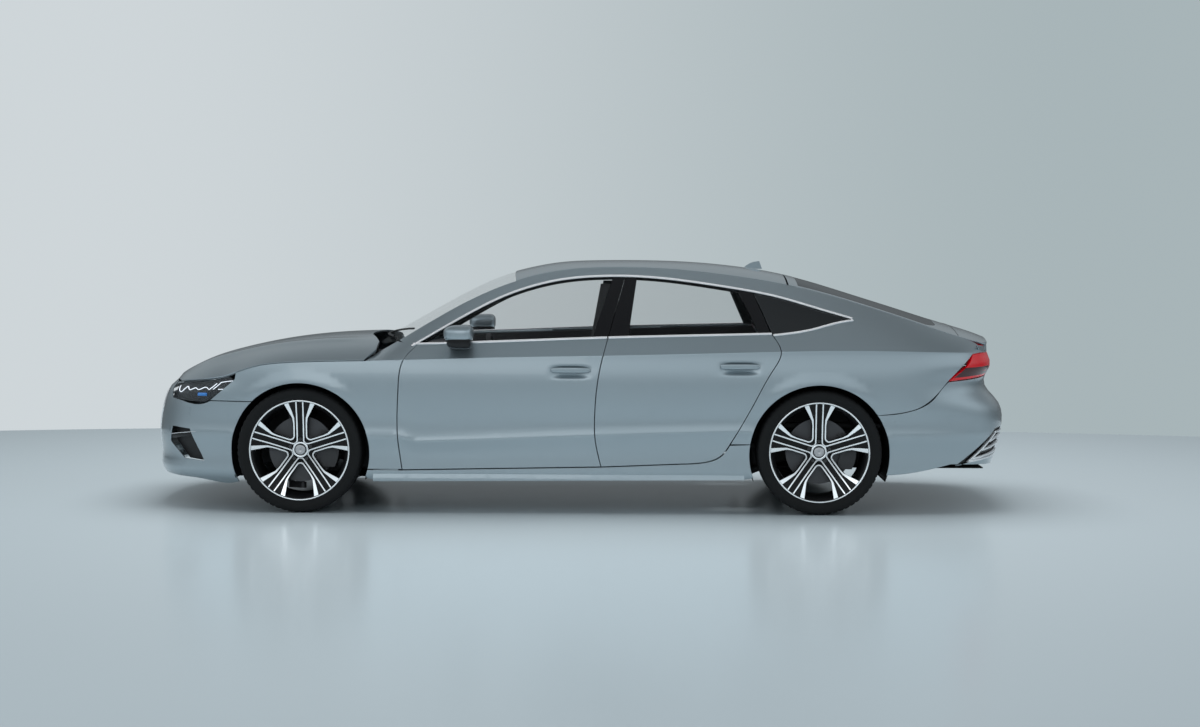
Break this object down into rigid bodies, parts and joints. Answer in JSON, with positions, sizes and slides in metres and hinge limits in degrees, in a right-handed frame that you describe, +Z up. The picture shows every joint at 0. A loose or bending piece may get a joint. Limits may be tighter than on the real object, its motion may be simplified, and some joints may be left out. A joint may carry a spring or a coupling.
{
  "type": "four-door coupe",
  "caption": "Four-door fastback coupe with frameless side glass, opening doors, hood and tailgate, steered front wheels and turning road wheels.",
  "frame": {"origin": "on the ground under the middle of the overall length and width", "axes": "+X to the nose, +Y to the left side, +Z up"},
  "size_m": [4.9744, 2.17, 1.4226],
  "materials": {
    "body_paint": "metallic grey-blue, clear coated",
    "black_plastic": "moulded black",
    "glass": "clear with a light tint",
    "lamp_clear": "clear lens over a dark housing",
    "lamp_red": "red lens",
    "bright_trim": "satin bright",
    "cabin_plastic": "soft dark",
    "seat_leather": "dark hide",
    "engine_metal": "as cast",
    "suspension_metal": "coated dark",
    "alloy": "polished ribs, black pockets",
    "tyre": "black rubber",
    "disc_metal": "turned"
  },
  "bodies": {
    "body": {"floor_pan": "black_plastic", "sill_panels": "body_paint", "hinge_pillars": "black_plastic", "centre_pillars": "black_plastic", "body_sides": "body_paint", "front_fenders": "body_paint", "roof_panel": "body_paint", "windscreen": "glass", "front_bumper": "body_paint", "grille": "black_plastic", "headlamps": "lamp_clear", "rear_bumper": "body_paint", "tail_lamps": "lamp_red", "exhaust_trims": "bright_trim", "quarter_glass": "glass", "arch_liners": "black_plastic", "dashboard": "cabin_plastic", "front_seats": "seat_leather", "rear_seat": "seat_leather", "engine_block": "engine_metal", "front_subframe": "suspension_metal", "rear_axle": "suspension_metal", "cowl_panel": "black_plastic", "aerial_fin": "black_plastic"},
    "front_left_door": {"door_front_left": "body_paint", "door_glass_front_left": "glass", "mirror_left": "body_paint"},
    "front_right_door": {"door_front_right": "body_paint", "door_glass_front_right": "glass", "mirror_right": "body_paint"},
    "rear_left_door": {"door_rear_left": "body_paint", "door_glass_rear_left": "glass"},
    "rear_right_door": {"door_rear_right": "body_paint", "door_glass_rear_right": "glass"},
    "hood": {"hood": "body_paint"},
    "tailgate": {"tailgate": "body_paint", "rear_window": "glass", "tail_lamp_bar": "lamp_red"},
    "knuckle_left": {"front_knuckle_left": "suspension_metal"},
    "knuckle_right": {"front_knuckle_right": "suspension_metal"},
    "steering_wheel": {"steering_wheel": "cabin_plastic"},
    "front_left_wheel": {"rim_front_left": "alloy", "tyre_front_left": "tyre", "brake_disc_front_left": "disc_metal"},
    "front_right_wheel": {"rim_front_right": "alloy", "tyre_front_right": "tyre", "brake_disc_front_right": "disc_metal"},
    "rear_left_wheel": {"rim_rear_left": "alloy", "tyre_rear_left": "tyre", "brake_disc_rear_left": "disc_metal"},
    "rear_right_wheel": {"rim_rear_right": "alloy", "tyre_rear_right": "tyre", "brake_disc_rear_right": "disc_metal"}
  },
  "joints": [
    {"name": "front_left_door_hinge", "type": "hinge", "parent": "body", "child": "front_left_door", "pos_m": [0.925, 0.905, 0.55], "axis": [0, 0, -1], "range_deg": [0, 65]},
    {"name": "front_right_door_hinge", "type": "hinge", "parent": "body", "child": "front_right_door", "pos_m": [0.925, -0.905, 0.55], "axis": [0, 0, 1], "range_deg": [0, 65]},
    {"name": "rear_left_door_hinge", "type": "hinge", "parent": "body", "child": "rear_left_door", "pos_m": [-0.18, 0.905, 0.55], "axis": [0, 0, -1], "range_deg": [0, 65]},
    {"name": "rear_right_door_hinge", "type": "hinge", "parent": "body", "child": "rear_right_door", "pos_m": [-0.18, -0.905, 0.55], "axis": [0, 0, 1], "range_deg": [0, 65]},
    {"name": "hood_hinge", "type": "hinge", "parent": "body", "child": "hood", "pos_m": [1.17, 0, 0.924], "axis": [0, -1, 0], "range_deg": [0, 55]},
    {"name": "tailgate_hinge", "type": "hinge", "parent": "body", "child": "tailgate", "pos_m": [-1.232, 0, 1.31543], "axis": [0, 1, 0], "range_deg": [0, 65]},
    {"name": "steer_left", "type": "hinge", "parent": "body", "child": "knuckle_left", "pos_m": [1.5645, 0.79, 0.352], "axis": [0, 0, 1], "range_deg": [-33, 33]},
    {"name": "steer_right", "type": "hinge", "parent": "body", "child": "knuckle_right", "pos_m": [1.5645, -0.79, 0.352], "axis": [0, 0, 1], "range_deg": [-33, 33]},
    {"name": "steering_wheel_turn", "type": "hinge", "parent": "body", "child": "steering_wheel", "pos_m": [0.48, 0.37, 0.812], "axis": [-0.9504, 0, 0.311], "range_deg": [-429, 429]},
    {"name": "front_left_wheel_spin", "type": "hinge", "parent": "knuckle_left", "child": "front_left_wheel", "pos_m": [1.5645, 0.8255, 0.352], "axis": [0, 1, 0], "continuous": true},
    {"name": "front_right_wheel_spin", "type": "hinge", "parent": "knuckle_right", "child": "front_right_wheel", "pos_m": [1.5645, -0.8255, 0.352], "axis": [0, 1, 0], "continuous": true},
    {"name": "rear_left_wheel_spin", "type": "hinge", "parent": "body", "child": "rear_left_wheel", "pos_m": [-1.3615, 0.8185, 0.352], "axis": [0, 1, 0], "continuous": true},
    {"name": "rear_right_wheel_spin", "type": "hinge", "parent": "body", "child": "rear_right_wheel", "pos_m": [-1.3615, -0.8185, 0.352], "axis": [0, 1, 0], "continuous": true}
  ],
  "couplings": [
    {"joint": "steer_right", "follows": "steer_left", "ratio": 1},
    {"joint": "steering_wheel_turn", "follows": "steer_left", "ratio": 13}
  ]
}
